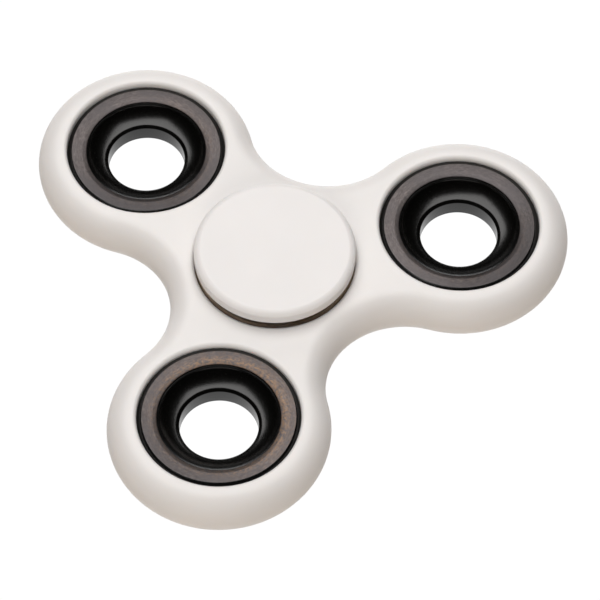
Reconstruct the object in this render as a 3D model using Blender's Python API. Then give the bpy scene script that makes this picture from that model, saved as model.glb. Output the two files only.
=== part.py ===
"""Three-lobed fidget spinner, built as the separate pieces it comes apart into.

A moulded body carries three pressed-in iron ring weights round a standard 22 x 8 x 7 mm ball
bearing. Two finger caps plug together through the bearing's bore and clamp its inner ring, so the
body, the weights and the bearing's outer ring spin round the caps.

Frame: the origin is the centre of the lower cap's flat underside, +Z runs up the spin axis, and the
first lobe points along +Y. Lengths are in metres.
"""

import math

import bmesh
import bpy
from mathutils import Matrix

MM = 0.001

# The moulded body, seen in plan: three round lobes joined by concave necks. Its side bulges out
# by EDGE_REACH in a half-ellipse.
LOBE_COUNT = 3
FIRST_LOBE_ANGLE = math.radians(90)
ARM_RADIUS = 26.25 * MM
LOBE_RADIUS = 15.15 * MM
NECK_RADIUS = 11.0 * MM
BODY_THICKNESS = 7.4 * MM
EDGE_REACH = 3.3 * MM
LOBE_STEPS = 18
NECK_STEPS = 6
EDGE_STEPS = 6

# Standard 608 bearing: 22 mm outside, 8 mm bore, 7 mm wide, seven 5/32 inch balls.
BEARING_RADIUS = 11.0 * MM
BEARING_BORE_RADIUS = 4.0 * MM
BEARING_WIDTH = 7.0 * MM
BEARING_CHAMFER = 0.3 * MM
BALL_COUNT = 7
BALL_RADIUS = 1.9845 * MM
PITCH_RADIUS = 7.5 * MM
INNER_SHOULDER_RADIUS = 6.05 * MM
OUTER_SHOULDER_RADIUS = 8.95 * MM
GROOVE_STEPS = 3

# Shield and the wire ring that holds it, in the recess at each face of the outer ring.
RECESS_RADIUS = 9.6 * MM
RECESS_DEPTH = 0.8 * MM
WIRE_GROOVE_RADIUS = 9.8 * MM
WIRE_GROOVE_LOW = 0.5 * MM
WIRE_GROOVE_HIGH = 0.1 * MM
SHIELD_INNER_RADIUS = 6.25 * MM
SHIELD_OUTER_RADIUS = 9.5 * MM
SHIELD_THICKNESS = 0.2 * MM
SHIELD_DEPTH = 0.75 * MM
SHIELD_LIP = 0.35 * MM
WIRE_RING_RADIUS = 9.52 * MM
WIRE_RADIUS = 0.15 * MM
WIRE_DEPTH = 0.3 * MM
WIRE_GAP_ANGLE = math.radians(24)
WIRE_SIDES = 5
WIRE_STEPS = 24

# Ribbon cage: two pressed halves, riveted together between the balls.
CAGE_INNER_RADIUS = 6.45 * MM
CAGE_OUTER_RADIUS = 8.55 * MM
CAGE_THICKNESS = 0.35 * MM
CAGE_HALF_GAP = 0.04 * MM
POCKET_RADIUS = 2.13 * MM
POCKET_STEPS = 8
RIVET_HOLE_RADIUS = 0.42 * MM
RIVET_SHANK_RADIUS = 0.34 * MM
RIVET_HEAD_RADIUS = 0.7 * MM
RIVET_TOP_RADIUS = 0.5 * MM
RIVET_HEAD_HEIGHT = 0.25 * MM

# Iron ring weight: the same seat as the bearing, a flat ground face, a dished inside and a bore.
# Each weight is pressed in to its own depth below the body's mid-plane.
WEIGHT_RADIUS = 11.0 * MM
WEIGHT_THICKNESS = 7.0 * MM
WEIGHT_SEATING = (0.5 * MM, 0.25 * MM, 0.38 * MM)
WEIGHT_CHAMFER_WIDTH = 0.6 * MM
WEIGHT_CHAMFER_DEPTH = 0.3 * MM
FACE_INNER_RADIUS = 8.35 * MM
LIP_RADIUS = 5.78 * MM
LIP_DEPTH = 1.65 * MM
WEIGHT_BORE_RADIUS = 5.36 * MM
WEIGHT_BORE_DEPTH = 2.3 * MM
DISH_STEPS = 3

# Finger caps: a round pad on a shoulder that touches only the bearing's inner ring.
CAP_RADIUS = 11.12 * MM
CAP_TOP = 6.5 * MM
CAP_RIM = 4.3 * MM
CAP_EDGE_RADIUS = 1.2 * MM
CAP_EDGE_SWEEP = math.radians(47)
CAP_RIM_CHAMFER = 0.2 * MM
CAP_EDGE_STEPS = 3
SHOULDER_RADIUS = 5.4 * MM
SOCKET_RADIUS = 2.5 * MM
SOCKET_TOP = 2.9 * MM
SOCKET_STEM_END = 3.3 * MM
PIN_CHAMFER = 0.3 * MM
PIN_END_GAP = 0.2 * MM

# Clearances, which keep neighbouring pieces apart.
PRESS_GAP = 0.1 * MM
BALL_GAP = 0.05 * MM
FACE_GAP = 0.05 * MM

# Facets.
SEAT_SEGMENTS = 48
WEIGHT_SEGMENTS = 36
CAP_SEGMENTS = 40
OUTER_RING_SEGMENTS = 32
INNER_RING_SEGMENTS = 28
SHIELD_SEGMENTS = 30
BALL_SEGMENTS = 14
BALL_RINGS = 8
RIVET_SEGMENTS = 8
MERGE_DISTANCE = 0.001 * MM
SHARP_ANGLE = math.radians(35)

MID_HEIGHT = CAP_TOP
BEARING_FACE = BEARING_WIDTH / 2
TURN = 2 * math.pi


def clear_scene():
    """Empties the file of objects, meshes and materials."""
    for item in list(bpy.data.objects):
        bpy.data.objects.remove(item, do_unlink=True)
    for mesh in list(bpy.data.meshes):
        bpy.data.meshes.remove(mesh)
    for old in list(bpy.data.materials):
        bpy.data.materials.remove(old)


def make_material(name, colour, roughness, metallic):
    """A plain Principled material."""
    made = bpy.data.materials.new(name)
    made.use_nodes = True
    made.diffuse_color = (*colour, 1.0)
    shader = made.node_tree.nodes["Principled BSDF"]
    shader.inputs["Base Color"].default_value = (*colour, 1.0)
    shader.inputs["Roughness"].default_value = roughness
    shader.inputs["Metallic"].default_value = metallic
    return made


def make_axis(name, location, parent=None):
    """An empty on a joint's axis, which carries the pieces that turn together."""
    axis = bpy.data.objects.new(name, None)
    axis.empty_display_size = 5 * MM
    axis.location = location
    axis.parent = parent
    bpy.context.scene.collection.objects.link(axis)
    return axis


def add_piece(name, mesh, material, parent, location=(0.0, 0.0, 0.0), angle=0.0):
    """One named piece of the spinner, placed under the empty that it turns with."""
    if not mesh.materials:
        mesh.materials.append(material)
    mesh.shade_smooth()
    mesh.set_sharp_from_angle(angle=SHARP_ANGLE)
    piece = bpy.data.objects.new(name, mesh)
    piece.location = location
    piece.rotation_euler = (0.0, 0.0, angle)
    piece.parent = parent
    bpy.context.scene.collection.objects.link(piece)
    return piece


def finish_mesh(name, bm):
    """Merges coincident points, turns the faces outwards and stores the mesh."""
    bmesh.ops.remove_doubles(bm, verts=bm.verts, dist=MERGE_DISTANCE)
    bmesh.ops.recalc_face_normals(bm, faces=bm.faces)
    mesh = bpy.data.meshes.new(name)
    bm.to_mesh(mesh)
    bm.free()
    return mesh


def polar(radius, angle):
    """The plan position at a radius and an angle."""
    return radius * math.cos(angle), radius * math.sin(angle)


def arc(centre, radius, start, end, steps):
    """Points along an arc in a plane, both ends included."""
    points = []
    for i in range(steps + 1):
        angle = start + (end - start) * i / steps
        across, along = polar(radius, angle)
        points.append((centre[0] + across, centre[1] + along))
    return points


def turned(name, profile, segments, closed):
    """A (radius, height) profile turned once about Z. A closed profile makes a ring."""
    bm = bmesh.new()
    points = [bm.verts.new((radius, 0.0, height)) for radius, height in profile]
    pairs = list(zip(points, points[1:]))
    if closed:
        pairs.append((points[-1], points[0]))
    edges = [bm.edges.new(pair) for pair in pairs]
    bmesh.ops.spin(
        bm,
        geom=points + edges,
        cent=(0.0, 0.0, 0.0),
        axis=(0.0, 0.0, 1.0),
        angle=TURN,
        steps=segments,
        use_merge=True,
    )
    return finish_mesh(name, bm)


def mirrored(profile):
    """A profile's upper half followed by its mirror image below the mid-plane."""
    return profile + [(radius, -height) for radius, height in reversed(profile)]


def flip_over(mesh):
    """Turns a mesh upside down about the Y axis, which runs through the first lobe and ball."""
    mesh.transform(Matrix.Rotation(math.pi, 4, "Y"))
    return mesh


def lobe_angles():
    """The directions of the three lobes."""
    return [FIRST_LOBE_ANGLE + TURN * i / LOBE_COUNT for i in range(LOBE_COUNT)]


def body_outline(inset):
    """The body's plan outline, moved inwards by inset: lobe arcs and the neck arcs between."""
    half_turn = math.pi / LOBE_COUNT
    across = ARM_RADIUS * math.sin(half_turn)
    along = ARM_RADIUS * math.cos(half_turn)
    neck_distance = along + math.sqrt((LOBE_RADIUS + NECK_RADIUS) ** 2 - across**2)
    lean = math.atan2(across, neck_distance - along)
    points = []
    for lobe in lobe_angles():
        centre = polar(ARM_RADIUS, lobe)
        reach = half_turn + lean
        points += arc(centre, LOBE_RADIUS - inset, lobe - reach, lobe + reach, LOBE_STEPS)
        neck = lobe + half_turn
        centre = polar(neck_distance, neck)
        facing = neck + math.pi
        points += arc(
            centre, NECK_RADIUS + inset, facing + lean, facing - lean, NECK_STEPS
        )[1:-1]
    return points


def body_blank():
    """The body before its seats are cut: a plate with a rounded side."""
    half = BODY_THICKNESS / 2
    bm = bmesh.new()
    layers = []
    for i in range(EDGE_STEPS + 1):
        tilt = math.pi * (i / EDGE_STEPS - 0.5)
        outline = body_outline(EDGE_REACH * (1 - math.cos(tilt)))
        height = half * math.sin(tilt)
        layers.append([bm.verts.new((x, y, height)) for x, y in outline])
    count = len(layers[0])
    for low, high in zip(layers, layers[1:]):
        for i in range(count):
            j = (i + 1) % count
            bm.faces.new((low[i], low[j], high[j], high[i]))
    bm.faces.new(reversed(layers[0]))
    bm.faces.new(layers[-1])
    return finish_mesh("spinner_body", bm)


def make_cutter(name, mesh, location, parent):
    """A hidden object that a Boolean cuts with."""
    cutter = bpy.data.objects.new(name, mesh)
    cutter.location = location
    cutter.parent = parent
    cutter.hide_render = True
    cutter.display_type = "WIRE"
    bpy.context.scene.collection.objects.link(cutter)
    return cutter


def cut(piece, cutter):
    """Cuts one object's shape out of another's."""
    modifier = piece.modifiers.new(cutter.name, "BOOLEAN")
    modifier.operation = "DIFFERENCE"
    modifier.solver = "EXACT"
    modifier.object = cutter


def cylinder(name, radius, height, segments):
    """A closed cylinder about Z, centred on the origin, for cutting with."""
    top = height / 2
    profile = [(0.0, top), (radius, top), (radius, -top), (0.0, -top)]
    return turned(name, profile, segments, closed=False)


def build_body(plastic, spin_axis):
    """The moulded body with its four round seats: the bearing's and the weights'."""
    body = add_piece("spinner_body", body_blank(), plastic, spin_axis)
    seat_radius = BEARING_RADIUS + PRESS_GAP
    seat = cylinder("seat_cutter", seat_radius, 2 * BODY_THICKNESS, SEAT_SEGMENTS)
    centres = [(0.0, 0.0)] + [polar(ARM_RADIUS, lobe) for lobe in lobe_angles()]
    for number, (x, y) in enumerate(centres):
        cut(body, make_cutter(f"seat_cutter_{number}", seat, (x, y, 0.0), spin_axis))


def weight_mesh():
    """A ring weight, the same on both sides."""
    face = WEIGHT_THICKNESS / 2
    drop = LIP_DEPTH
    run = FACE_INNER_RADIUS - LIP_RADIUS
    dish = []
    for i in range(DISH_STEPS + 1):
        swing = math.pi / 2 * i / DISH_STEPS
        radius = LIP_RADIUS + run * math.cos(swing)
        dish.append((radius, face - drop * math.sin(swing)))
    upper = [
        *reversed(dish),
        (WEIGHT_RADIUS - WEIGHT_CHAMFER_WIDTH, face),
        (WEIGHT_RADIUS, face - WEIGHT_CHAMFER_DEPTH),
    ]
    bore = (WEIGHT_BORE_RADIUS, face - WEIGHT_BORE_DEPTH)
    return turned("weight", mirrored([bore, *upper]), WEIGHT_SEGMENTS, closed=True)


def build_weights(iron, spin_axis):
    """One weight in each lobe's seat."""
    mesh = weight_mesh()
    for number, (lobe, depth) in enumerate(zip(lobe_angles(), WEIGHT_SEATING), start=1):
        x, y = polar(ARM_RADIUS, lobe)
        add_piece(f"weight_{number}", mesh, iron, spin_axis, (x, y, -depth), lobe)


def groove_arc(outward):
    """A raceway's upper quarter, from the shoulder's edge to the groove's bottom."""
    radius = BALL_RADIUS + BALL_GAP
    shoulder = OUTER_SHOULDER_RADIUS if outward else INNER_SHOULDER_RADIUS
    swing = math.acos(abs(shoulder - PITCH_RADIUS) / radius)
    points = arc((0.0, 0.0), radius, swing, 0.0, GROOVE_STEPS)
    side = 1 if outward else -1
    return [(PITCH_RADIUS + side * across, height) for across, height in points]


def outer_ring_mesh():
    """The outer ring, with a recess and a wire groove at each face."""
    face = BEARING_FACE
    upper = [
        *reversed(groove_arc(outward=True)[:-1]),
        (OUTER_SHOULDER_RADIUS, face - RECESS_DEPTH),
        (RECESS_RADIUS, face - RECESS_DEPTH),
        (RECESS_RADIUS, face - WIRE_GROOVE_LOW),
        (WIRE_GROOVE_RADIUS, face - WIRE_GROOVE_LOW),
        (WIRE_GROOVE_RADIUS, face - WIRE_GROOVE_HIGH),
        (RECESS_RADIUS, face - WIRE_GROOVE_HIGH),
        (RECESS_RADIUS, face),
        (BEARING_RADIUS - BEARING_CHAMFER, face),
        (BEARING_RADIUS, face - BEARING_CHAMFER),
    ]
    bottom = groove_arc(outward=True)[-1]
    profile = [bottom, *upper, *[(r, -h) for r, h in reversed(upper)]]
    return turned("bearing_outer_ring", profile, OUTER_RING_SEGMENTS, closed=True)


def inner_ring_mesh():
    """The inner ring, with plain shoulders."""
    face = BEARING_FACE
    bevel = BEARING_CHAMFER
    upper = [
        (BEARING_BORE_RADIUS, face - bevel),
        (BEARING_BORE_RADIUS + bevel, face),
        (INNER_SHOULDER_RADIUS, face),
        *groove_arc(outward=False)[:-1],
    ]
    bottom = groove_arc(outward=False)[-1]
    profile = [*upper, bottom, *[(r, -h) for r, h in reversed(upper)]]
    return turned("bearing_inner_ring", profile, INNER_RING_SEGMENTS, closed=True)


def shield_mesh():
    """A pressed steel shield, stepped up at its inner edge."""
    low = BEARING_FACE - SHIELD_DEPTH
    step_radius = (SHIELD_INNER_RADIUS + SHIELD_OUTER_RADIUS) / 2
    thick = SHIELD_THICKNESS
    profile = [
        (SHIELD_OUTER_RADIUS, low + thick),
        (SHIELD_OUTER_RADIUS, low),
        (step_radius, low),
        (step_radius - SHIELD_LIP, low + SHIELD_LIP),
        (SHIELD_INNER_RADIUS, low + SHIELD_LIP),
        (SHIELD_INNER_RADIUS, low + SHIELD_LIP + thick),
        (step_radius - SHIELD_LIP, low + SHIELD_LIP + thick),
        (step_radius, low + thick),
    ]
    return turned("shield", profile, SHIELD_SEGMENTS, closed=True)


def wire_ring_mesh():
    """An open ring of round wire, which springs outwards into the groove."""
    height = BEARING_FACE - WIRE_DEPTH
    sweep = TURN - WIRE_GAP_ANGLE
    bm = bmesh.new()
    rings = []
    for i in range(WIRE_STEPS + 1):
        turn = WIRE_GAP_ANGLE / 2 + sweep * i / WIRE_STEPS
        ring = []
        for j in range(WIRE_SIDES):
            across, up = polar(WIRE_RADIUS, TURN * j / WIRE_SIDES)
            x, y = polar(WIRE_RING_RADIUS + across, turn)
            ring.append(bm.verts.new((x, y, height + up)))
        rings.append(ring)
    bm.faces.new(rings[0])
    bm.faces.new(reversed(rings[-1]))
    for start, end in zip(rings, rings[1:]):
        for j in range(WIRE_SIDES):
            k = (j + 1) % WIRE_SIDES
            bm.faces.new((start[j], end[j], end[k], start[k]))
    return finish_mesh("wire_ring", bm)


def build_rings(steel, dark_steel, spin_axis, hub_axis):
    """The bearing's rings, and a shield and its wire ring at each face."""
    add_piece("bearing_outer_ring", outer_ring_mesh(), steel, spin_axis)
    add_piece("bearing_inner_ring", inner_ring_mesh(), steel, hub_axis)
    add_piece("shield_upper", shield_mesh(), dark_steel, spin_axis)
    add_piece("shield_lower", flip_over(shield_mesh()), dark_steel, spin_axis)
    add_piece("snap_ring_upper", wire_ring_mesh(), steel, spin_axis)
    add_piece("snap_ring_lower", flip_over(wire_ring_mesh()), steel, spin_axis)


def ball_angles():
    """The directions of the balls round the bearing."""
    return [FIRST_LOBE_ANGLE + TURN * i / BALL_COUNT for i in range(BALL_COUNT)]


def build_balls(steel, cage_axis):
    """The balls, each with its origin at its own centre."""
    bm = bmesh.new()
    bmesh.ops.create_uvsphere(
        bm, u_segments=BALL_SEGMENTS, v_segments=BALL_RINGS, radius=BALL_RADIUS
    )
    mesh = finish_mesh("ball", bm)
    for number, angle in enumerate(ball_angles(), start=1):
        x, y = polar(PITCH_RADIUS, angle)
        add_piece(f"ball_{number}", mesh, steel, cage_axis, (x, y, 0.0), angle)


def pocket_height(radius, angle, pocket, floor):
    """Height of the sheet over a ball at angle 0, or of the flat web beside it."""
    x, y = polar(radius, angle)
    reach = pocket**2 - (x - PITCH_RADIUS) ** 2 - y**2
    return max(floor, math.sqrt(max(reach, 0.0)))


def cage_angles():
    """Angles along the ribbon from one ball to the next, crowded at the pocket's edges."""
    inner = []
    for i in range(POCKET_STEPS + 1):
        across = POCKET_RADIUS * math.cos(math.pi * (1 - i / POCKET_STEPS))
        inner.append(math.asin(across / PITCH_RADIUS))
    outer_edge = math.asin((POCKET_RADIUS + CAGE_THICKNESS) / PITCH_RADIUS)
    return [-outer_edge, *inner, outer_edge]


def cage_mesh():
    """The upper cage half: a flat ribbon pressed into a pocket over each ball."""
    radii = [CAGE_INNER_RADIUS, PITCH_RADIUS, CAGE_OUTER_RADIUS]
    low, high = CAGE_HALF_GAP, CAGE_HALF_GAP + CAGE_THICKNESS
    bm = bmesh.new()
    sections = []
    for ball in ball_angles():
        for angle in cage_angles():
            section = []
            for radius in radii:
                height = pocket_height(radius, angle, POCKET_RADIUS, low)
                section.append((radius, ball + angle, height))
            for radius in reversed(radii):
                pocket = POCKET_RADIUS + CAGE_THICKNESS
                height = pocket_height(radius, angle, pocket, high)
                section.append((radius, ball + angle, height))
            sections.append(
                [bm.verts.new((*polar(r, turn), height)) for r, turn, height in section]
            )
    around = len(sections[0])
    for number, start in enumerate(sections):
        end = sections[(number + 1) % len(sections)]
        for j in range(around):
            k = (j + 1) % around
            bm.faces.new((start[j], end[j], end[k], start[k]))
    return finish_mesh("cage_half", bm)


def rivet_profile():
    """Half of a rivet's outline: shank, then a flat head clear of the ribbon."""
    head = CAGE_HALF_GAP + CAGE_THICKNESS + FACE_GAP
    upper = [
        (0.0, head + RIVET_HEAD_HEIGHT),
        (RIVET_TOP_RADIUS, head + RIVET_HEAD_HEIGHT),
        (RIVET_HEAD_RADIUS, head),
        (RIVET_SHANK_RADIUS, head),
    ]
    return mirrored(upper)


def build_cage(steel, cage_axis):
    """Both cage halves, and the rivets through the flat webs between the balls."""
    upper = add_piece("cage_upper", cage_mesh(), steel, cage_axis)
    lower = add_piece("cage_lower", flip_over(cage_mesh()), steel, cage_axis)
    hole = cylinder("rivet_cutter", RIVET_HOLE_RADIUS, 4 * CAGE_THICKNESS, RIVET_SEGMENTS)
    rivet = turned("cage_rivet", rivet_profile(), RIVET_SEGMENTS, closed=False)
    for number, ball in enumerate(ball_angles(), start=1):
        angle = ball + math.pi / BALL_COUNT
        x, y = polar(PITCH_RADIUS, angle)
        cutter = make_cutter(f"rivet_cutter_{number}", hole, (x, y, 0.0), cage_axis)
        cutter.rotation_euler = (0.0, 0.0, angle)
        cut(upper, cutter)
        cut(lower, cutter)
        add_piece(f"cage_rivet_{number}", rivet, steel, cage_axis, (x, y, 0.0), angle)


def cap_rim():
    """A cap's outline from its centre over the rounded edge and in to the shoulder's foot."""
    reach = CAP_EDGE_RADIUS * math.sin(CAP_EDGE_SWEEP)
    centre = (CAP_RADIUS - reach, CAP_TOP - CAP_EDGE_RADIUS)
    end = math.pi / 2 - CAP_EDGE_SWEEP
    edge = arc(centre, CAP_EDGE_RADIUS, math.pi / 2, end, CAP_EDGE_STEPS)
    shoulder_end = BEARING_FACE + FACE_GAP
    return [
        (0.0, CAP_TOP),
        *edge,
        (CAP_RADIUS, CAP_RIM + CAP_RIM_CHAMFER),
        (CAP_RADIUS - CAP_RIM_CHAMFER, CAP_RIM),
        (SHOULDER_RADIUS, CAP_RIM),
        (SHOULDER_RADIUS, shoulder_end),
    ]


def build_caps(plastic, hub_axis):
    """The upper cap with its socket stem, and the lower cap with the pin that plugs into it."""
    stem_radius = BEARING_BORE_RADIUS - PRESS_GAP
    socket_stem = [
        (stem_radius, BEARING_FACE + FACE_GAP),
        (stem_radius, -SOCKET_STEM_END),
        (SOCKET_RADIUS, -SOCKET_STEM_END),
        (SOCKET_RADIUS, SOCKET_TOP),
        (0.0, SOCKET_TOP),
    ]
    upper = turned("cap_upper", cap_rim() + socket_stem, CAP_SEGMENTS, closed=False)
    add_piece("cap_upper", upper, plastic, hub_axis)
    pin_radius = SOCKET_RADIUS - PRESS_GAP
    pin_end = SOCKET_TOP - PIN_END_GAP
    pin = [
        (pin_radius, BEARING_FACE + FACE_GAP),
        (pin_radius, -pin_end + PIN_CHAMFER),
        (pin_radius - PIN_CHAMFER, -pin_end),
        (0.0, -pin_end),
    ]
    lower = turned("cap_lower", cap_rim() + pin, CAP_SEGMENTS, closed=False)
    add_piece("cap_lower", flip_over(lower), plastic, hub_axis)


def main():
    """Builds every piece of the spinner."""
    clear_scene()
    white_plastic = make_material("white_plastic", (0.82, 0.8, 0.78), 0.35, 0.0)
    cap_plastic = make_material("cap_plastic", (0.83, 0.82, 0.8), 0.45, 0.0)
    iron = make_material("blackened_iron", (0.09, 0.075, 0.07), 0.45, 0.9)
    ring_steel = make_material("bearing_steel", (0.42, 0.41, 0.4), 0.3, 1.0)
    ball_steel = make_material("polished_steel", (0.6, 0.6, 0.6), 0.12, 1.0)
    sheet_steel = make_material("sheet_steel", (0.35, 0.34, 0.33), 0.4, 1.0)
    hub_axis = make_axis("hub_axis", (0.0, 0.0, MID_HEIGHT))
    spin_axis = make_axis("spin_axis", (0.0, 0.0, 0.0), hub_axis)
    cage_axis = make_axis("cage_axis", (0.0, 0.0, 0.0), hub_axis)
    build_body(white_plastic, spin_axis)
    build_weights(iron, spin_axis)
    build_rings(ring_steel, sheet_steel, spin_axis, hub_axis)
    build_balls(ball_steel, cage_axis)
    build_cage(sheet_steel, cage_axis)
    build_caps(cap_plastic, hub_axis)


main()
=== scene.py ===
"""Looks for a three-lobed fidget spinner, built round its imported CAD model."""

import math

import bmesh
import bpy
from mathutils import Matrix, Vector


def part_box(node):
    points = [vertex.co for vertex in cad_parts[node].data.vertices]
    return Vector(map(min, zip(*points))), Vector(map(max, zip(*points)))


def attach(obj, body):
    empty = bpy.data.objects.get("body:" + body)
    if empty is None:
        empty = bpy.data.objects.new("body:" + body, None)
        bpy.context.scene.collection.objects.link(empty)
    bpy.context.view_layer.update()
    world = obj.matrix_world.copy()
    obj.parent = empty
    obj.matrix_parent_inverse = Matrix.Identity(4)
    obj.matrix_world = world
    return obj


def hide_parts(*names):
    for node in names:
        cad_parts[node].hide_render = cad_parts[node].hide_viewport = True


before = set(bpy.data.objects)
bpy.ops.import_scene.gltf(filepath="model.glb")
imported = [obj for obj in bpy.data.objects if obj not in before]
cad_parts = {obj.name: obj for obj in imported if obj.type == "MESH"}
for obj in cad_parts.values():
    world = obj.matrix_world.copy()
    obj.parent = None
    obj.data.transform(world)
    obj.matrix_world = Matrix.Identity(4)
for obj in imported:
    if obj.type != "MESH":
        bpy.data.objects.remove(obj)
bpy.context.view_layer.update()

MM = 0.001
TURN = 2 * math.pi


def box_size(node):
    """A CAD node's extent along X, Y and Z."""
    low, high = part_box(node)
    return high - low


def box_centre(node):
    """The middle of a CAD node's box."""
    low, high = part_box(node)
    return (low + high) / 2


# Places and sizes that come from the frame.
MID = box_centre("bearing_inner_ring").z
BODY_THICKNESS = box_size("spinner_body").z
BODY_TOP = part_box("spinner_body")[1].y
WEIGHT_NAMES = ["weight_1", "weight_2", "weight_3"]
WEIGHT_RADIUS = box_size("weight_1").x / 2
WEIGHT_FACE = box_size("weight_1").z / 2
FIRST_WEIGHT = box_centre("weight_1")
ARM_RADIUS = FIRST_WEIGHT.xy.length
FIRST_LOBE_ANGLE = math.atan2(FIRST_WEIGHT.y, FIRST_WEIGHT.x)
LOBE_COUNT = len(WEIGHT_NAMES)
LOBE_RADIUS = BODY_TOP - ARM_RADIUS
CAP_RADIUS = box_size("cap_upper").x / 2
CAP_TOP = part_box("cap_upper")[1].z - MID
BEARING_RADIUS = box_size("bearing_outer_ring").x / 2
BEARING_FACE = box_size("bearing_inner_ring").z / 2
BALL_NAMES = sorted(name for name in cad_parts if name.startswith("ball_"))
BALL_COUNT = len(BALL_NAMES)
BALL_RADIUS = box_size("ball_1").z / 2
PITCH_RADIUS = 7.5 * MM

# The moulded body.
NECK_RADIUS = 11.0 * MM
EDGE_REACH = 3.3 * MM
SEAT_GAP = 0.08 * MM
SEAT_FILLET = 0.55 * MM
SUPPORT = 0.01 * MM
LOBE_STEPS = 96
NECK_STEPS = 36
EDGE_STEPS = 40
SEAT_SEGMENTS = 192
FILLET_STEPS = 10

# The ring weights.
CHAMFER_WIDTH = 0.6 * MM
CHAMFER_DEPTH = 0.3 * MM
CHAMFER_ROUND = 0.06 * MM
CHAMFER_FIRST_DIP = 0.008 * MM
CHAMFER_SECOND_DIP = 0.035 * MM
CHAMFER_END_INSET = 0.04 * MM
CHAMFER_END_RISE = 0.02 * MM
CHAMFER_END_DROP = 0.03 * MM
GROUND_TILT = 0.8
LIP_RADIUS = 5.78 * MM
DISH_TILTS = (math.radians(13.5), math.radians(44), math.radians(73))
DISH_WALL_RADIUS = 0.94 * MM
CREST_RADIUS = 0.4 * MM
CROWN_START = 9.1 * MM
CROWN_END = 8.5 * MM
CROWN_TILT = math.radians(16)
CROWN_ROUND = 0.9 * MM
BORE_RADIUS = 5.36 * MM
BORE_DEPTH = 2.3 * MM
BORE_ROUND = 0.1 * MM
BORE_SLOPE = math.radians(30)
LIP_ROUND = 0.04 * MM
WEIGHT_SEGMENTS = 192
BEND_STEPS = 5
CREST_STEPS = 10
DISH_FLOOR_STEPS = 20
DISH_WALL_STEPS = 12
BORE_EDGE_STEPS = 6

# The finger caps.
CAP_RIM = 4.3 * MM
CAP_EDGE_RADIUS = 1.45 * MM
CAP_EDGE_TILTS = (math.radians(11), math.radians(52))
CAP_CORNER_RADIUS = 0.16 * MM
CAP_RIM_RADIUS = 0.45 * MM
SHOULDER_RADIUS = 5.4 * MM
STEM_RADIUS = 3.9 * MM
SOCKET_RADIUS = 2.5 * MM
SOCKET_TOP = 2.9 * MM
SOCKET_STEM_END = 3.3 * MM
PIN_RADIUS = 2.4 * MM
PIN_END = 2.7 * MM
PIN_CHAMFER = 0.3 * MM
SHOULDER_GAP = 0.05 * MM
CAP_SEGMENTS = 192
CAP_EDGE_STEPS = 12
CAP_CORNER_STEPS = 6

# The bearing.
BORE_EDGE_RADIUS = 0.3 * MM
RING_BORE_RADIUS = 4.0 * MM
INNER_SHOULDER_RADIUS = 6.05 * MM
OUTER_SHOULDER_RADIUS = 8.95 * MM
GROOVE_GAP = 0.05 * MM
RECESS_RADIUS = 9.6 * MM
RECESS_DEPTH = 0.8 * MM
WIRE_GROOVE_RADIUS = 9.8 * MM
WIRE_GROOVE_LOW = 0.5 * MM
WIRE_GROOVE_HIGH = 0.1 * MM
SHIELD_INNER_RADIUS = 6.25 * MM
SHIELD_OUTER_RADIUS = 9.5 * MM
SHIELD_THICKNESS = 0.2 * MM
SHIELD_DEPTH = 0.75 * MM
SHIELD_LIP = 0.35 * MM
WIRE_RING_RADIUS = 9.52 * MM
WIRE_RADIUS = 0.15 * MM
WIRE_DEPTH = 0.3 * MM
WIRE_GAP_ANGLE = math.radians(24)
WIRE_SIDES = 16
WIRE_STEPS = 120
WIRE_END_STEPS = 5
RING_SEGMENTS = 128
RACE_LIP = 0.03 * MM
SHOULDER_CHAMFER = 0.08 * MM
GROOVE_STEPS = 16
RACE_EDGE_STEPS = 8
SHIELD_STEPS = 12
BALL_CUTS = 19

# The cage.
CAGE_INNER_RADIUS = 6.45 * MM
CAGE_OUTER_RADIUS = 8.55 * MM
CAGE_THICKNESS = 0.35 * MM
CAGE_HALF_GAP = 0.04 * MM
POCKET_RADIUS = 2.13 * MM
RIVET_SHANK_RADIUS = 0.34 * MM
RIVET_HEAD_RADIUS = 0.7 * MM
RIVET_HEAD_HEIGHT = 0.25 * MM
RIVET_HEAD_GAP = 0.05 * MM
RIVET_SEGMENTS = 32
DOME_STEPS = 8
CAGE_ACROSS_STEPS = 10
CAGE_ALONG_STEPS = 28

# Each weight's rust: strength and direction of the rustier side. Then the strength and direction of the side
# towards which its ground face is made darker.
WEIGHT_RUST_AND_DARK_SIDES = (
    (0.15, math.radians(-60), 0.66, math.radians(-134)),
    (0.85, math.radians(-5), 0.42, math.radians(-170)),
    (0.1, math.radians(-134), 0.66, math.radians(-90)),
)

# Camera: a long lens, looking down on the spinner from the near side.
CAMERA_AZIMUTH = math.radians(-43.91)
CAMERA_ELEVATION = math.radians(56.27)
CAMERA_ROLL = math.radians(0.39)
CAMERA_DISTANCE = 559.5 * MM
CAMERA_SLIDE = (-3.47 * MM, 5.32 * MM)
AIM_HEIGHT = MID + 3.15 * MM
LENS = 244.13
SENSOR = 36.0

# Colours and roughness of the plain materials.
BODY_PLASTIC = ((0.705, 0.685, 0.675), 0.38)
CAP_PLASTIC = ((0.72, 0.7, 0.695), 0.42)
RACE_STEEL = ((0.5, 0.49, 0.48), 0.3)
BALL_STEEL = ((0.72, 0.72, 0.72), 0.1)
SHEET_STEEL = ((0.4, 0.39, 0.38), 0.38)
OILED_STEEL = ((0.6, 0.47, 0.35), 0.45)
TURNING_MARKS = 0.2

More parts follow.
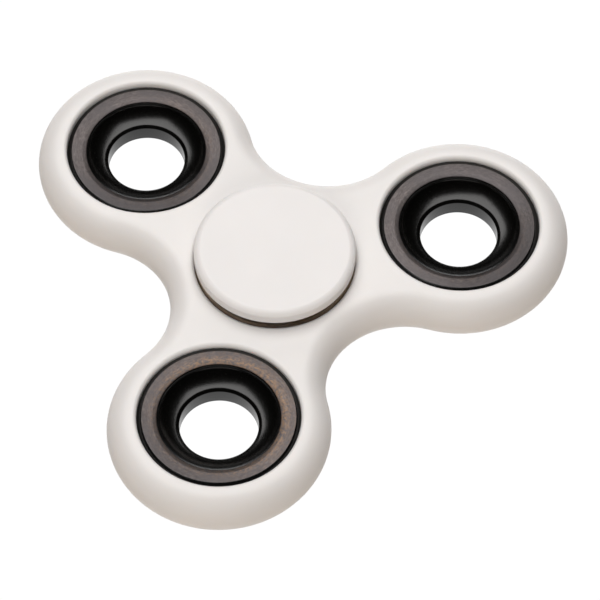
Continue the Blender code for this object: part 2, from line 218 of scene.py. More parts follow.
# Light.
SOFTBOX_HEIGHT = 0.6
SOFTBOX_SIZE = 0.68
SOFTBOX_BACK = 0.2
SOFTBOX_LEFT = 0.04
SOFTBOX_RADIANCE = 3.35
SOFTBOX_COLOUR = (1.0, 0.985, 0.97)
FILL_SIZE = (0.5, 0.4)
FILL_DISTANCE = 0.8
FILL_LEFT = 0.08
FILL_ELEVATION = math.radians(24)
FILL_RADIANCE = 5.2
LOW_FILL_SIZE = (0.8, 0.16)
LOW_FILL_ELEVATION = math.radians(9)
LOW_FILL_RADIANCE = 0.9
FAR_FILL_ELEVATION = math.radians(16)
FAR_FILL_RADIANCE = 3.0
FILL_COLOUR = (1.0, 0.955, 0.9)
BOUNCE_COLOUR = (0.52, 0.43, 0.34)
BACKDROP_GLOW = 1.02
TABLE_SIZE = 3.0
BACKDROP_GAP = 1 * MM
WORLD_GREY = 0.004


# Shapes

def polar(radius, angle):
    """The plan position at a radius and an angle."""
    return radius * math.cos(angle), radius * math.sin(angle)


def arc(centre, radius, start, end, steps):
    """Points along an arc in a plane, both ends included."""
    points = []
    for i in range(steps + 1):
        across, along = polar(radius, start + (end - start) * i / steps)
        points.append((centre[0] + across, centre[1] + along))
    return points


def mirrored(profile):
    """A profile's upper half followed by its mirror image below the mid-plane."""
    return profile + [(radius, -height) for radius, height in reversed(profile)]


def store_mesh(name, bm, sharp=math.radians(40)):
    """Merges coincident points, turns faces outwards and stores a smooth-shaded mesh."""
    bmesh.ops.remove_doubles(bm, verts=bm.verts, dist=0.0005 * MM)
    bmesh.ops.recalc_face_normals(bm, faces=bm.faces)
    mesh = bpy.data.meshes.new(name)
    bm.to_mesh(mesh)
    bm.free()
    mesh.shade_smooth()
    mesh.set_sharp_from_angle(angle=sharp)
    return mesh


def turned(name, profile, segments, closed=True, sharp=math.radians(40)):
    """A (radius, height) profile turned once about Z. A closed profile makes a ring."""
    bm = bmesh.new()
    points = [bm.verts.new((radius, 0.0, height)) for radius, height in profile]
    pairs = list(zip(points, points[1:]))
    if closed:
        pairs.append((points[-1], points[0]))
    edges = [bm.edges.new(pair) for pair in pairs]
    bmesh.ops.spin(
        bm,
        geom=points + edges,
        cent=(0.0, 0.0, 0.0),
        axis=(0.0, 0.0, 1.0),
        angle=TURN,
        steps=segments,
        use_merge=True,
    )
    return store_mesh(name, bm, sharp)


def flipped(mesh):
    """The mesh turned upside down about the Y axis."""
    mesh.transform(Matrix.Rotation(math.pi, 4, "Y"))
    return mesh


def add_piece(name, mesh, materials, body, node, place=(0.0, 0.0, MID)):
    """Places a piece, puts it on its body and stands it for its CAD node."""
    if not mesh.materials:
        for each in materials:
            mesh.materials.append(each)
    piece = bpy.data.objects.new(name, mesh)
    piece.location = place
    bpy.context.scene.collection.objects.link(piece)
    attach(piece, body)
    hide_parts(node)
    return piece


def lobe_angles():
    """The directions of the three lobes."""
    return [FIRST_LOBE_ANGLE + TURN * i / LOBE_COUNT for i in range(LOBE_COUNT)]


def body_outline(inset):
    """The body's plan outline, moved inwards by inset: lobe arcs and the neck arcs between."""
    half_turn = math.pi / LOBE_COUNT
    across = ARM_RADIUS * math.sin(half_turn)
    along = ARM_RADIUS * math.cos(half_turn)
    neck_distance = along + math.sqrt((LOBE_RADIUS + NECK_RADIUS) ** 2 - across**2)
    lean = math.atan2(across, neck_distance - along)
    points = []
    for lobe in lobe_angles():
        centre = polar(ARM_RADIUS, lobe)
        reach = half_turn + lean
        points += arc(centre, LOBE_RADIUS - inset, lobe - reach, lobe + reach, LOBE_STEPS)
        centre = polar(neck_distance, lobe + half_turn)
        facing = lobe + half_turn + math.pi
        neck = arc(centre, NECK_RADIUS + inset, facing + lean, facing - lean, NECK_STEPS)
        points += neck[1:-1]
    return points


def join_loops(bm, low, high):
    """Quads between two closed loops of the same number of points."""
    count = len(low)
    for i in range(count):
        j = (i + 1) % count
        bm.faces.new((low[i], low[j], high[j], high[i]))


def loop_edges(bm, loop):
    """The edges round a closed loop of points."""
    return [bm.edges.get((a, b)) or bm.edges.new((a, b)) for a, b in zip(loop, loop[1:] + loop[:1])]


def body_mesh():
    """The moulded body: a rounded side, flat faces, and four seats with rounded edges."""
    half = BODY_THICKNESS / 2
    bm = bmesh.new()
    side = [(EDGE_REACH + SUPPORT, -half)]
    for i in range(EDGE_STEPS + 1):
        tilt = math.pi * (i / EDGE_STEPS - 0.5)
        side.append((EDGE_REACH * (1 - math.cos(tilt)), half * math.sin(tilt)))
    side.append((EDGE_REACH + SUPPORT, half))
    loops = []
    for inset, height in side:
        loops.append([bm.verts.new((x, y, height)) for x, y in body_outline(inset)])
    for low, high in zip(loops, loops[1:]):
        join_loops(bm, low, high)
    rims = {half: loop_edges(bm, loops[-1]), -half: loop_edges(bm, loops[0])}
    seat = WEIGHT_RADIUS + SEAT_GAP
    corner = (seat + SEAT_FILLET, half - SEAT_FILLET)
    fillet = arc(corner, SEAT_FILLET, math.pi / 2, math.pi, FILLET_STEPS)
    wall = mirrored([(seat + SEAT_FILLET + SUPPORT, half), *fillet])
    for x, y in [(0.0, 0.0)] + [polar(ARM_RADIUS, lobe) for lobe in lobe_angles()]:
        rings = []
        for radius, height in wall:
            ring = []
            for i in range(SEAT_SEGMENTS):
                across, along = polar(radius, TURN * i / SEAT_SEGMENTS)
                ring.append(bm.verts.new((x + across, y + along, height)))
            rings.append(ring)
        for high, low in zip(rings, rings[1:]):
            join_loops(bm, high, low)
        rims[half] += loop_edges(bm, rings[0])
        rims[-half] += loop_edges(bm, rings[-1])
    for height, edges in rims.items():
        bmesh.ops.triangle_fill(
            bm, use_beauty=True, use_dissolve=False, edges=edges, normal=(0.0, 0.0, height)
        )
    return store_mesh("moulded_body", bm)


def rising_arc(start, radius, tilts, steps):
    """A hollow arc from a point, whose slope grows from the first tilt to the second."""
    centre = (
        start[0] - radius * math.sin(tilts[0]),
        start[1] + radius * math.cos(tilts[0]),
    )
    return arc(centre, radius, tilts[0] - math.pi / 2, tilts[1] - math.pi / 2, steps)


def weight_profile():
    """A ring weight's upper half from the bore up to the outer wall, and its ground face's radii.

    The dish rises from the lip in a wide arc and then a tight one, to a small rounded crest. From
    there a shallow cone, the crown, runs up into the flat face.
    """
    face = WEIGHT_FACE
    half_turn = math.pi / 2
    low, middle, steep = DISH_TILTS
    bend = arc(
        (CROWN_START, face - CROWN_ROUND), CROWN_ROUND, half_turn + CROWN_TILT, half_turn, BEND_STEPS
    )
    crown_end = bend[0][1] - (bend[0][0] - CROWN_END) * math.tan(CROWN_TILT)
    crest_centre = (
        CROWN_END + CREST_RADIUS * math.sin(CROWN_TILT),
        crown_end - CREST_RADIUS * math.cos(CROWN_TILT),
    )
    crest = arc(crest_centre, CREST_RADIUS, half_turn + steep, half_turn + CROWN_TILT, CREST_STEPS)
    wall_run = DISH_WALL_RADIUS * (math.sin(steep) - math.sin(middle))
    floor_run = crest[0][0] - LIP_RADIUS - wall_run
    floor_radius = floor_run / (math.sin(middle) - math.sin(low))
    wall_rise = DISH_WALL_RADIUS * (math.cos(middle) - math.cos(steep))
    floor_rise = floor_radius * (math.cos(low) - math.cos(middle))
    lip_height = crest[0][1] - wall_rise - floor_rise
    floor = rising_arc((LIP_RADIUS, lip_height), floor_radius, (low, middle), DISH_FLOOR_STEPS)
    wall = rising_arc(floor[-1], DISH_WALL_RADIUS, (middle, steep), DISH_WALL_STEPS)
    bore_edge = arc(
        (BORE_RADIUS + BORE_ROUND, face - BORE_DEPTH - BORE_ROUND),
        BORE_ROUND,
        math.pi,
        half_turn + BORE_SLOPE,
        BORE_EDGE_STEPS,
    )
    chamfer_start = WEIGHT_RADIUS - CHAMFER_WIDTH
    upper = [
        (BORE_RADIUS, 0.0),
        *bore_edge,
        (LIP_RADIUS - LIP_ROUND, lip_height - LIP_ROUND / 2),
        *floor,
        *wall[1:],
        *crest[1:],
        *bend,
        (CROWN_START + SUPPORT, face),
        (chamfer_start - CHAMFER_ROUND, face),
        (chamfer_start, face - CHAMFER_FIRST_DIP),
        (chamfer_start + CHAMFER_ROUND, face - CHAMFER_SECOND_DIP),
        (WEIGHT_RADIUS - CHAMFER_END_INSET, face - CHAMFER_DEPTH + CHAMFER_END_RISE),
        (WEIGHT_RADIUS, face - CHAMFER_DEPTH - CHAMFER_END_DROP),
    ]
    return upper, crest_centre[0] - CREST_RADIUS, chamfer_start


def weight_mesh(name):
    """A ring weight. Its flat faces take the second material."""
    upper, face_start, face_end = weight_profile()
    profile = upper + [(radius, -height) for radius, height in reversed(upper[1:])]
    mesh = turned(name, profile, WEIGHT_SEGMENTS)
    for face in mesh.polygons:
        centre = Vector(face.center)
        if abs(face.normal.z) > GROUND_TILT and face_start < centre.xy.length < face_end:
            face.material_index = 1
    return mesh


def cap_rim():
    """A cap's outline from its centre over the rounded edge and in to the shoulder's foot."""
    low, steep = (math.pi / 2 - tilt for tilt in CAP_EDGE_TILTS)
    tight = CAP_CORNER_RADIUS
    centre = (
        CAP_RADIUS - tight - (CAP_EDGE_RADIUS - tight) * math.cos(steep),
        CAP_TOP - CAP_EDGE_RADIUS * math.sin(low),
    )
    across, along = polar(CAP_EDGE_RADIUS - tight, steep)
    corner = (centre[0] + across, centre[1] + along)
    edge_start = centre[0] + CAP_EDGE_RADIUS * math.cos(low)
    rim_corner = (CAP_RADIUS - CAP_RIM_RADIUS, CAP_RIM + CAP_RIM_RADIUS)
    return [
        (0.0, CAP_TOP),
        (edge_start - SUPPORT, CAP_TOP),
        *arc(centre, CAP_EDGE_RADIUS, low, steep, CAP_EDGE_STEPS),
        *arc(corner, tight, steep, 0.0, CAP_CORNER_STEPS)[1:],
        *arc(rim_corner, CAP_RIM_RADIUS, 0.0, -math.pi / 2, CAP_CORNER_STEPS),
        (SHOULDER_RADIUS, CAP_RIM),
        (SHOULDER_RADIUS, BEARING_FACE + SHOULDER_GAP),
    ]


def upper_cap_mesh():
    """The upper cap, whose hollow stem takes the lower cap's pin."""
    stem = [
        (STEM_RADIUS, BEARING_FACE + SHOULDER_GAP),
        (STEM_RADIUS, -SOCKET_STEM_END),
        (SOCKET_RADIUS, -SOCKET_STEM_END),
        (SOCKET_RADIUS, SOCKET_TOP),
        (0.0, SOCKET_TOP),
    ]
    return turned("upper_cap", cap_rim() + stem, CAP_SEGMENTS, closed=False)


def lower_cap_mesh():
    """The lower cap, with a solid pin."""
    pin = [
        (PIN_RADIUS, BEARING_FACE + SHOULDER_GAP),
        (PIN_RADIUS, -PIN_END + PIN_CHAMFER),
        (PIN_RADIUS - PIN_CHAMFER, -PIN_END),
        (0.0, -PIN_END),
    ]
    return flipped(turned("lower_cap", cap_rim() + pin, CAP_SEGMENTS, closed=False))


def groove_arc(shoulder, side):
    """A raceway's upper quarter, from the shoulder's edge to the groove's bottom."""
    radius = BALL_RADIUS + GROOVE_GAP
    swing = math.acos(abs(shoulder - PITCH_RADIUS) / radius)
    points = arc((0.0, 0.0), radius, swing, 0.0, GROOVE_STEPS)
    return [(PITCH_RADIUS + side * across, height) for across, height in points]


def outer_race_mesh():
    """The bearing's outer ring, with its shield recesses and wire grooves."""
    face = BEARING_FACE
    groove = groove_arc(OUTER_SHOULDER_RADIUS, 1)
    corner = (BEARING_RADIUS - BORE_EDGE_RADIUS, face - BORE_EDGE_RADIUS)
    upper = [
        *reversed(groove),
        (OUTER_SHOULDER_RADIUS, face - RECESS_DEPTH),
        (RECESS_RADIUS, face - RECESS_DEPTH),
        (RECESS_RADIUS, face - WIRE_GROOVE_LOW),
        (WIRE_GROOVE_RADIUS, face - WIRE_GROOVE_LOW),
        (WIRE_GROOVE_RADIUS, face - WIRE_GROOVE_HIGH),
        (RECESS_RADIUS, face - WIRE_GROOVE_HIGH),
        (RECESS_RADIUS + RACE_LIP, face),
        (corner[0] - SUPPORT, face),
        *arc(corner, BORE_EDGE_RADIUS, math.pi / 2, 0.0, RACE_EDGE_STEPS),
    ]
    profile = upper + [(radius, -height) for radius, height in reversed(upper[1:])]
    return turned("outer_race", profile, RING_SEGMENTS)


def inner_race_mesh():
    """The bearing's inner ring, with plain shoulders and a rounded bore edge."""
    face = BEARING_FACE
    corner = (RING_BORE_RADIUS + BORE_EDGE_RADIUS, face - BORE_EDGE_RADIUS)
    groove = groove_arc(INNER_SHOULDER_RADIUS, -1)
    upper = [
        *arc(corner, BORE_EDGE_RADIUS, math.pi, math.pi / 2, RACE_EDGE_STEPS),
        (INNER_SHOULDER_RADIUS - SHOULDER_CHAMFER, face),
        (INNER_SHOULDER_RADIUS, face - SHOULDER_CHAMFER),
        *groove,
    ]
    profile = upper + [(radius, -height) for radius, height in reversed(upper[:-1])]
    return turned("inner_race", profile, RING_SEGMENTS)


def shield_mesh():
    """A pressed shield: a thin disc, stepped up at its inner edge."""
    low = BEARING_FACE - SHIELD_DEPTH
    step = (SHIELD_INNER_RADIUS + SHIELD_OUTER_RADIUS) / 2
    thick = SHIELD_THICKNESS
    under = []
    for i in range(SHIELD_STEPS + 1):
        share = i / SHIELD_STEPS
        rise = SHIELD_LIP * (1 - math.cos(math.pi * share)) / 2
        under.append((step - SHIELD_LIP * share, low + rise))
    over = [(radius, height + thick) for radius, height in under]
    profile = [
        (SHIELD_OUTER_RADIUS, low + thick),
        (SHIELD_OUTER_RADIUS, low),
        *under,
        (SHIELD_INNER_RADIUS, low + SHIELD_LIP),
        (SHIELD_INNER_RADIUS, low + SHIELD_LIP + thick),
        *reversed(over),
    ]
    return turned("shield", profile, RING_SEGMENTS)


def wire_stations():
    """Turn and scale of the wire's cross-sections from end to end, with rounded ends."""
    end_turn = WIRE_RADIUS / WIRE_RING_RADIUS
    first = WIRE_GAP_ANGLE / 2
    cap = []
    for i in range(1, WIRE_END_STEPS):
        swing = math.pi / 2 * i / WIRE_END_STEPS
        cap.append((first + end_turn * (1 - math.cos(swing)), math.sin(swing)))
    start = first + end_turn
    run = TURN - 2 * start
    middle = [(start + run * i / WIRE_STEPS, 1.0) for i in range(WIRE_STEPS + 1)]
    return cap + middle + [(TURN - turn, scale) for turn, scale in reversed(cap)]


def wire_ring_mesh():
    """An open ring of round wire."""
    height = BEARING_FACE - WIRE_DEPTH
    bm = bmesh.new()
    rings = []
    for turn, scale in wire_stations():
        ring = []
        for j in range(WIRE_SIDES):
            across, up = polar(WIRE_RADIUS * scale, TURN * j / WIRE_SIDES)
            x, y = polar(WIRE_RING_RADIUS + across, turn)
            ring.append(bm.verts.new((x, y, height + up)))
        rings.append(ring)
    bm.faces.new(rings[0])
    bm.faces.new(reversed(rings[-1]))
    for start, end in zip(rings, rings[1:]):
        join_loops(bm, start, end)
    return store_mesh("wire_ring", bm)


def ball_mesh():
    """A bearing ball, from a subdivided cube pushed out to a sphere."""
    bm = bmesh.new()
    bmesh.ops.create_cube(bm, size=BALL_RADIUS)
    bmesh.ops.subdivide_edges(bm, edges=bm.edges, cuts=BALL_CUTS, use_grid_fill=True)
    for point in bm.verts:
        point.co = point.co.normalized() * BALL_RADIUS
    return store_mesh("ball", bm)


def ball_angles():
    """The directions of the balls round the bearing."""
    first = box_centre(BALL_NAMES[0])
    start = math.atan2(first.y, first.x)
    return [start + TURN * i / BALL_COUNT for i in range(BALL_COUNT)]


def pocket_height(radius, angle, pocket, floor):
    """Height of the sheet over a ball at angle 0, or of the flat web beside it."""
    x, y = polar(radius, angle)
    reach = pocket**2 - (x - PITCH_RADIUS) ** 2 - y**2
    return max(floor, math.sqrt(max(reach, 0.0)))


def cage_angles(steps):
    """Angles along the ribbon round one ball, crowded at the pocket's edges, then along the web."""
    inner = []
    for i in range(steps + 1):
        across = POCKET_RADIUS * math.cos(math.pi * (1 - i / steps))
        inner.append(math.asin(across / PITCH_RADIUS))
    edge = math.asin((POCKET_RADIUS + CAGE_THICKNESS) / PITCH_RADIUS)
    web = TURN / BALL_COUNT - 2 * edge
    return [-edge, *inner, edge, edge + web / 3, edge + 2 * web / 3]


def cage_mesh():
    """The upper cage half: a flat ribbon pressed into a pocket over each ball."""
    width = CAGE_OUTER_RADIUS - CAGE_INNER_RADIUS
    radii = [
        CAGE_INNER_RADIUS + width * i / CAGE_ACROSS_STEPS for i in range(CAGE_ACROSS_STEPS + 1)
    ]
    low, high = CAGE_HALF_GAP, CAGE_HALF_GAP + CAGE_THICKNESS
    bm = bmesh.new()
    sections = []
    for ball in ball_angles():
        for angle in cage_angles(CAGE_ALONG_STEPS):
            section = []
            for radius in radii:
                height = pocket_height(radius, angle, POCKET_RADIUS, low)
                section.append((radius, ball + angle, height))
            for radius in reversed(radii):
                height = pocket_height(radius, angle, POCKET_RADIUS + CAGE_THICKNESS, high)
                section.append((radius, ball + angle, height))
            sections.append([bm.verts.new((*polar(r, turn), z)) for r, turn, z in section])
    for start, end in zip(sections, sections[1:] + sections[:1]):
        join_loops(bm, start, end)
    return store_mesh("cage_half", bm)


def rivet_mesh():
    """A rivet: a shank between two low domed heads."""
    foot = CAGE_HALF_GAP + CAGE_THICKNESS + RIVET_HEAD_GAP
    dome = []
    for i in range(DOME_STEPS + 1):
        swing = math.pi / 2 * (1 - i / DOME_STEPS)
        dome.append((RIVET_HEAD_RADIUS * math.cos(swing), foot + RIVET_HEAD_HEIGHT * math.sin(swing)))
    return turned("rivet", mirrored([*dome, (RIVET_SHANK_RADIUS, foot)]), RIVET_SEGMENTS, closed=False)


# Materials

class Nodes:
    """A material's node tree, with short ways to add the nodes it needs."""

    def __init__(self, name):
        self.material = bpy.data.materials.new(name)
        self.material.use_nodes = True
        self.tree = self.material.node_tree
        self.shader = self.tree.nodes["Principled BSDF"]

    def add(self, kind, **settings):
        made = self.tree.nodes.new(kind)
        for key, value in settings.items():
            setattr(made, key, value)
        return made

    def link(self, source, target):
        self.tree.links.new(source, target)

    def set(self, **values):
        for key, value in values.items():
            self.shader.inputs[key.replace("_", " ")].default_value = value

    def coordinates(self, offset=(0.0, 0.0, 0.0)):
        """Object coordinates, moved by an offset so that copies don't match."""
        source = self.add("ShaderNodeTexCoord")
        mapping = self.add("ShaderNodeMapping")
        mapping.inputs["Location"].default_value = offset
        self.link(source.outputs["Object"], mapping.inputs["Vector"])
        return mapping.outputs["Vector"]

    def noise(self, vector, size, detail=3.0, roughness=0.5):
        """Noise whose features are about size across."""
        made = self.add("ShaderNodeTexNoise")
        made.inputs["Scale"].default_value = 1 / size
        made.inputs["Detail"].default_value = detail
        made.inputs["Roughness"].default_value = roughness
        self.link(vector, made.inputs["Vector"])
        return made.outputs["Fac"]

    def ramp(self, value, *stops):
        """A colour ramp through (place, colour) stops."""
        made = self.add("ShaderNodeValToRGB")
        elements = made.color_ramp.elements
        while len(elements) < len(stops):
            elements.new(0.5)
        for element, (place, colour) in zip(elements, stops):
            element.position = place
            element.color = (*colour, 1.0)
        self.link(value, made.inputs["Fac"])
        return made.outputs["Color"]

    def between(self, value, low, high, start=0.0, end=1.0):
        """The value carried from one range to another, held at its ends."""
        made = self.add("ShaderNodeMapRange")
        made.inputs["From Min"].default_value = low
        made.inputs["From Max"].default_value = high
        made.inputs["To Min"].default_value = start
        made.inputs["To Max"].default_value = end
        self.link(value, made.inputs["Value"])
        return made.outputs["Result"]

    def mix(self, share, first, second):
        """A mix of two colours, each a socket or a plain colour."""
        made = self.add("ShaderNodeMix", data_type="RGBA")
        self.link(share, made.inputs["Factor"])
        for socket, value in (("A", first), ("B", second)):
            target = [i for i in made.inputs if i.name == socket and i.type == "RGBA"][0]
            if isinstance(value, tuple):
                target.default_value = (*value, 1.0)
            else:
                self.link(value, target)
        return [o for o in made.outputs if o.type == "RGBA"][0]

    def round_axis(self, vector):
        """The direction in plan from Z, as a unit vector, and the distance from Z."""
        flat = self.add("ShaderNodeVectorMath", operation="MULTIPLY")
        flat.inputs[1].default_value = (1.0, 1.0, 0.0)
        self.link(vector, flat.inputs[0])
        unit = self.add("ShaderNodeVectorMath", operation="NORMALIZE")
        self.link(flat.outputs["Vector"], unit.inputs[0])
        length = self.add("ShaderNodeVectorMath", operation="LENGTH")
        self.link(flat.outputs["Vector"], length.inputs[0])
        return unit.outputs["Vector"], length.outputs["Value"]

    def streaked(self, unit, radius, stretch, offset):
        """Coordinates for noise drawn out round Z: stretch is the length of a radian."""
        turned = self.add("ShaderNodeVectorMath", operation="MULTIPLY_ADD")
        turned.inputs[1].default_value = (stretch, stretch, 0.0)
        turned.inputs[2].default_value = offset
        self.link(unit, turned.inputs[0])
        height = self.add("ShaderNodeCombineXYZ")
        self.link(radius, height.inputs["Z"])
        both = self.add("ShaderNodeVectorMath", operation="ADD")
        self.link(turned.outputs["Vector"], both.inputs[0])
        self.link(height.outputs["Vector"], both.inputs[1])
        return both.outputs["Vector"]

    def towards(self, unit, angle):
        """How far a direction in plan points to an angle, from -1 to 1."""
        made = self.add("ShaderNodeVectorMath", operation="DOT_PRODUCT")
        made.inputs[1].default_value = (*polar(1.0, angle), 0.0)
        self.link(unit, made.inputs[0])
        return made.outputs["Value"]

    def times(self, first, second):
        """The product of two values."""
        made = self.add("ShaderNodeMath", operation="MULTIPLY")
        self.link(first, made.inputs[0])
        self.link(second, made.inputs[1])
        return made.outputs["Value"]

    def bump(self, height, strength, distance, under=None):
        """A bump normal, laid over another where one is given."""
        made = self.add("ShaderNodeBump")
        made.inputs["Strength"].default_value = strength
        made.inputs["Distance"].default_value = distance
        self.link(height, made.inputs["Height"])
        if under is not None:
            self.link(under, made.inputs["Normal"])
        return made.outputs["Normal"]

    def use(self, socket, source):
        self.link(source, self.shader.inputs[socket])


def moulded_plastic(name, colour, roughness):
    """White moulded plastic: slightly translucent, with a fine satin mould texture."""
    n = Nodes(name)
    place = n.coordinates()
    cloud = n.noise(place, 9 * MM, 2.0)
    darker = tuple(0.975 * c for c in colour)
    n.use("Base Color", n.ramp(cloud, (0.3, darker), (0.7, colour)))
    grain = n.noise(place, 0.12 * MM, 3.0, 0.6)
    n.use("Roughness", n.between(n.noise(place, 1.2 * MM, 4.0), 0.3, 0.7, roughness - 0.04, roughness + 0.05))
    waves = n.bump(n.noise(place, 4 * MM, 1.0), 0.06, 0.05 * MM)
    n.use("Normal", n.bump(grain, 0.12, 0.01 * MM, waves))
    n.set(Metallic=0.0, IOR=1.5, Subsurface_Weight=0.12, Subsurface_Scale=1.0 * MM)
    n.set(Subsurface_Radius=(1.0, 0.75, 0.55))
    return n.material


def black_coating(name, offset):
    """Black coated iron: semi-gloss, with the pressed iron's grain under the coat."""
    n = Nodes(name)
    place = n.coordinates(offset)
    grain = n.noise(place, 0.16 * MM, 4.0, 0.65)
    n.use("Base Color", n.ramp(grain, (0.35, (0.0006, 0.0006, 0.0005)), (0.75, (0.0022, 0.002, 0.0017))))
    n.use("Roughness", n.between(grain, 0.3, 0.7, 0.16, 0.28))
    n.use("Normal", n.bump(grain, 0.28, 0.02 * MM))
    n.set(Metallic=0.0, IOR=1.5)
    return n.material


def ground_iron(name, offset, rust, rust_side, shade, dark_side):
    """The weights' ground faces: dull grey iron, darker at one side, with grinding marks and rust."""
    n = Nodes(name)
    unit, radius = n.round_axis(n.coordinates())
    place = n.coordinates(offset)
    fine = n.noise(place, 0.2 * MM, 4.0, 0.7)
    marks = n.noise(n.streaked(unit, radius, 3 * MM, offset), 0.2 * MM, 4.0, 0.7)
    grain = n.noise(n.streaked(unit, radius, 6 * MM, offset), 0.3 * MM, 4.0, 0.75)
    base = n.ramp(
        marks,
        (0.28, (0.05, 0.043, 0.042)),
        (0.5, (0.085, 0.074, 0.073)),
        (0.74, (0.15, 0.132, 0.128)),
    )
    cloud = n.noise(place, 5 * MM, 2.0)
    base = n.mix(n.between(cloud, 0.35, 0.65, 0.0, 0.8), base, (0.07, 0.064, 0.066))
    # Darker towards one side of the face, by a set amount and direction per weight.
    dark = n.between(n.towards(unit, dark_side), 0.1, 1.0, 0.0, shade)
    base = n.mix(n.times(dark, n.between(cloud, 0.7, 0.3, 0.6, 1.1)), base, (0.012, 0.012, 0.014))
    inner = n.between(radius, 9.8 * MM, 9.05 * MM, 0.25, 1.0)
    side = n.between(n.towards(unit, rust_side), -1.5, 0.8)
    patch = n.times(n.between(grain, 0.42, 0.6, 0.0, rust), n.times(inner, side))
    n.use("Base Color", n.mix(patch, base, (0.2, 0.125, 0.075)))
    n.use("Roughness", n.between(fine, 0.3, 0.7, 0.36, 0.52))
    n.use("Normal", n.bump(marks, 0.3, 0.02 * MM, n.bump(fine, 0.3, 0.02 * MM)))
    n.set(Metallic=0.8, IOR=1.5)
    return n.material


def steel(name, colour, roughness, streak=0.0):
    """Bearing steel, with turning marks round the axis where streak is given."""
    n = Nodes(name)
    place = n.coordinates()
    fine = n.noise(place, 0.3 * MM, 4.0, 0.6)
    darker = tuple(0.85 * c for c in colour)
    n.use("Base Color", n.ramp(fine, (0.3, darker), (0.7, colour)))
    n.use("Roughness", n.between(fine, 0.3, 0.7, roughness - 0.05, roughness + 0.06))
    if streak:
        radius = n.round_axis(place)[1]
        rings = n.add("ShaderNodeTexNoise", noise_dimensions="1D")
        rings.inputs["Scale"].default_value = 1 / (0.06 * MM)
        rings.inputs["Detail"].default_value = 2.0
        n.link(radius, rings.inputs["W"])
        n.use("Normal", n.bump(rings.outputs["Fac"], streak, 0.01 * MM))
    n.set(Metallic=1.0)
    return n.material


def bounce_material():
    """The matt table top, which throws warm light back up."""
    n = Nodes("matt_table")
    grain = n.noise(n.coordinates(), 4 * MM, 3.0)
    paler = tuple(1.02 * c for c in BOUNCE_COLOUR)
    n.use("Base Color", n.ramp(grain, (0.3, BOUNCE_COLOUR), (0.7, paler)))
    n.set(Roughness=1.0, Specular_IOR_Level=0.0)
    return n.material


def backdrop_material():
    """An even white glow, as of a backlit sheet."""
    n = Nodes("white_backdrop")
    n.set(Base_Color=(0.0, 0.0, 0.0, 1.0), Roughness=1.0, Specular_IOR_Level=0.0)
    n.set(Emission_Color=(1.0, 1.0, 1.0, 1.0), Emission_Strength=BACKDROP_GLOW)
    return n.material


# The scene

def make_camera():
    """The camera, at the viewing angle and distance that the spinner is seen from."""
    side, rise = math.sin(CAMERA_AZIMUTH), math.sin(CAMERA_ELEVATION)
    level = math.cos(CAMERA_ELEVATION)
    back = Vector((side * level, -math.cos(CAMERA_AZIMUTH) * level, rise))
    right = Vector((0.0, 0.0, 1.0)).cross(back).normalized()
    up = back.cross(right)
    turn = Matrix.Rotation(CAMERA_ROLL, 3, back)
    right, up = turn @ right, turn @ up
    slide = right * CAMERA_SLIDE[0] + up * CAMERA_SLIDE[1]
    place = Vector((0.0, 0.0, AIM_HEIGHT)) + back * CAMERA_DISTANCE - slide
    data = bpy.data.cameras.new("camera")
    data.lens = LENS
    data.sensor_width = SENSOR
    data.clip_start = 0.01
    data.clip_end = 20.0
    camera = bpy.data.objects.new("camera", data)
    camera.matrix_world = Matrix.Translation(place) @ Matrix((right, up, back)).transposed().to_4x4()
    bpy.context.scene.collection.objects.link(camera)
    bpy.context.scene.camera = camera
    return back


def add_softbox(name, place, size, radiance, colour, glossy=True):
    """A rectangular soft light that faces the spinner and stays out of the picture."""
    data = bpy.data.lights.new(name, "AREA")
    data.shape = "RECTANGLE"
    data.size, data.size_y = size
    data.color = colour
    data.energy = radiance * math.pi * size[0] * size[1]
    light = bpy.data.objects.new(name, data)
    light.location = place
    light.rotation_euler = place.to_track_quat("Z", "Y").to_euler()
    light.visible_camera = False
    light.visible_glossy = glossy
    bpy.context.scene.collection.objects.link(light)


def make_light(back):
    """A softbox overhead, towards the far side, and dimmer ones low on the near and far sides."""
    up = Vector((0.0, 0.0, 1.0))
    near = Vector((back.x, back.y, 0.0)).normalized()
    left = near.cross(up)
    place = left * SOFTBOX_LEFT - near * SOFTBOX_BACK + up * SOFTBOX_HEIGHT
    add_softbox(
        "softbox", place, (SOFTBOX_SIZE, SOFTBOX_SIZE), SOFTBOX_RADIANCE, SOFTBOX_COLOUR
    )
    fills = (
        ("fill", FILL_LEFT, 1, FILL_ELEVATION, FILL_SIZE, FILL_RADIANCE, FILL_COLOUR, False),
        ("low_fill", 0.0, 1, LOW_FILL_ELEVATION, LOW_FILL_SIZE, LOW_FILL_RADIANCE, FILL_COLOUR, True),
        ("far_fill", 0.0, -1, FAR_FILL_ELEVATION, FILL_SIZE, FAR_FILL_RADIANCE, SOFTBOX_COLOUR, False),
    )
    for name, shift, side, elevation, size, radiance, colour, glossy in fills:
        level, rise = polar(FILL_DISTANCE, elevation)
        place = left * shift + near * side * level + up * rise
        add_softbox(name, place, size, radiance, colour, glossy)
    world = bpy.data.worlds.new("room")
    bpy.context.scene.world = world
    world.use_nodes = True
    background = world.node_tree.nodes["Background"]
    background.inputs["Color"].default_value = (WORLD_GREY, WORLD_GREY, WORLD_GREY, 1.0)
    bpy.context.scene.view_settings.view_transform = "Standard"


def add_stage(name, height, material):
    """A plain square sheet at a height, staged as part of the set."""
    bm = bmesh.new()
    bmesh.ops.create_grid(bm, x_segments=4, y_segments=4, size=TABLE_SIZE)
    mesh = bpy.data.meshes.new(name)
    bm.to_mesh(mesh)
    bm.free()
    mesh.materials.append(material)
    sheet = bpy.data.objects.new(name, mesh)
    sheet.location = (0.0, 0.0, height)
    bpy.context.scene.collection.objects.link(sheet)
    return sheet


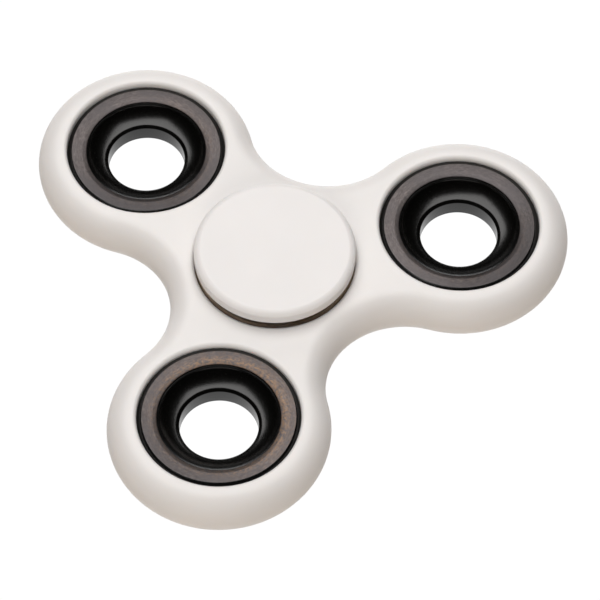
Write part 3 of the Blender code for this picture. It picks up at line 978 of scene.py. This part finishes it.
def make_floor():
    """The floor: a matt table that lights the spinner from below, seen as an even white sheet."""
    table = add_stage("table", 0.0, bounce_material())
    table.visible_camera = False
    table.visible_glossy = False
    backdrop = add_stage("backdrop", -BACKDROP_GAP, backdrop_material())
    backdrop.visible_diffuse = False
    backdrop.visible_transmission = False
    backdrop.visible_shadow = False


def make_body_and_weights(plastic):
    """The moulded body and the three weights pressed into it."""
    add_piece("moulded_body", body_mesh(), [plastic], "spinner", "spinner_body")
    for number, (node, rust_and_dark_side) in enumerate(zip(WEIGHT_NAMES, WEIGHT_RUST_AND_DARK_SIDES), start=1):
        offset = (number * 7 * MM, number * 11 * MM, 0.0)
        coat = black_coating(f"black_coating_{number}", offset)
        ground = ground_iron(f"ground_iron_{number}", offset, *rust_and_dark_side)
        mesh = weight_mesh(f"iron_weight_{number}")
        add_piece(
            f"iron_weight_{number}",
            mesh,
            [coat, ground],
            "spinner",
            node,
            box_centre(node),
        )


def make_bearing():
    """The bearing's rings, shields, wire rings, balls and riveted cage."""
    race = steel("bearing_steel", *RACE_STEEL, streak=TURNING_MARKS)
    bright = steel("ball_steel", *BALL_STEEL)
    sheet = steel("sheet_steel", *SHEET_STEEL)
    oiled = steel("oiled_steel", *OILED_STEEL, streak=TURNING_MARKS)
    add_piece("outer_race", outer_race_mesh(), [oiled], "spinner", "bearing_outer_ring")
    add_piece("inner_race", inner_race_mesh(), [race], "hub", "bearing_inner_ring")
    add_piece("upper_shield", shield_mesh(), [sheet], "spinner", "shield_upper")
    add_piece("lower_shield", flipped(shield_mesh()), [sheet], "spinner", "shield_lower")
    add_piece("upper_wire_ring", wire_ring_mesh(), [race], "spinner", "snap_ring_upper")
    lower_wire = flipped(wire_ring_mesh())
    add_piece("lower_wire_ring", lower_wire, [race], "spinner", "snap_ring_lower")
    ball = ball_mesh()
    for node in BALL_NAMES:
        name = node.replace("ball", "steel_ball")
        add_piece(name, ball, [bright], node, node, box_centre(node))
    add_piece("upper_cage_half", cage_mesh(), [sheet], "cage", "cage_upper")
    add_piece("lower_cage_half", flipped(cage_mesh()), [sheet], "cage", "cage_lower")
    rivet = rivet_mesh()
    for number in range(1, BALL_COUNT + 1):
        node = f"cage_rivet_{number}"
        add_piece(f"rivet_{number}", rivet, [sheet], "cage", node, box_centre(node))


def make_caps(plastic):
    """The two finger caps."""
    add_piece("upper_cap", upper_cap_mesh(), [plastic], "hub", "cap_upper")
    add_piece("lower_cap", lower_cap_mesh(), [plastic], "hub", "cap_lower")


camera_back = make_camera()
make_light(camera_back)
make_floor()
make_body_and_weights(moulded_plastic("body_plastic", *BODY_PLASTIC))
make_bearing()
make_caps(moulded_plastic("cap_plastic", *CAP_PLASTIC))
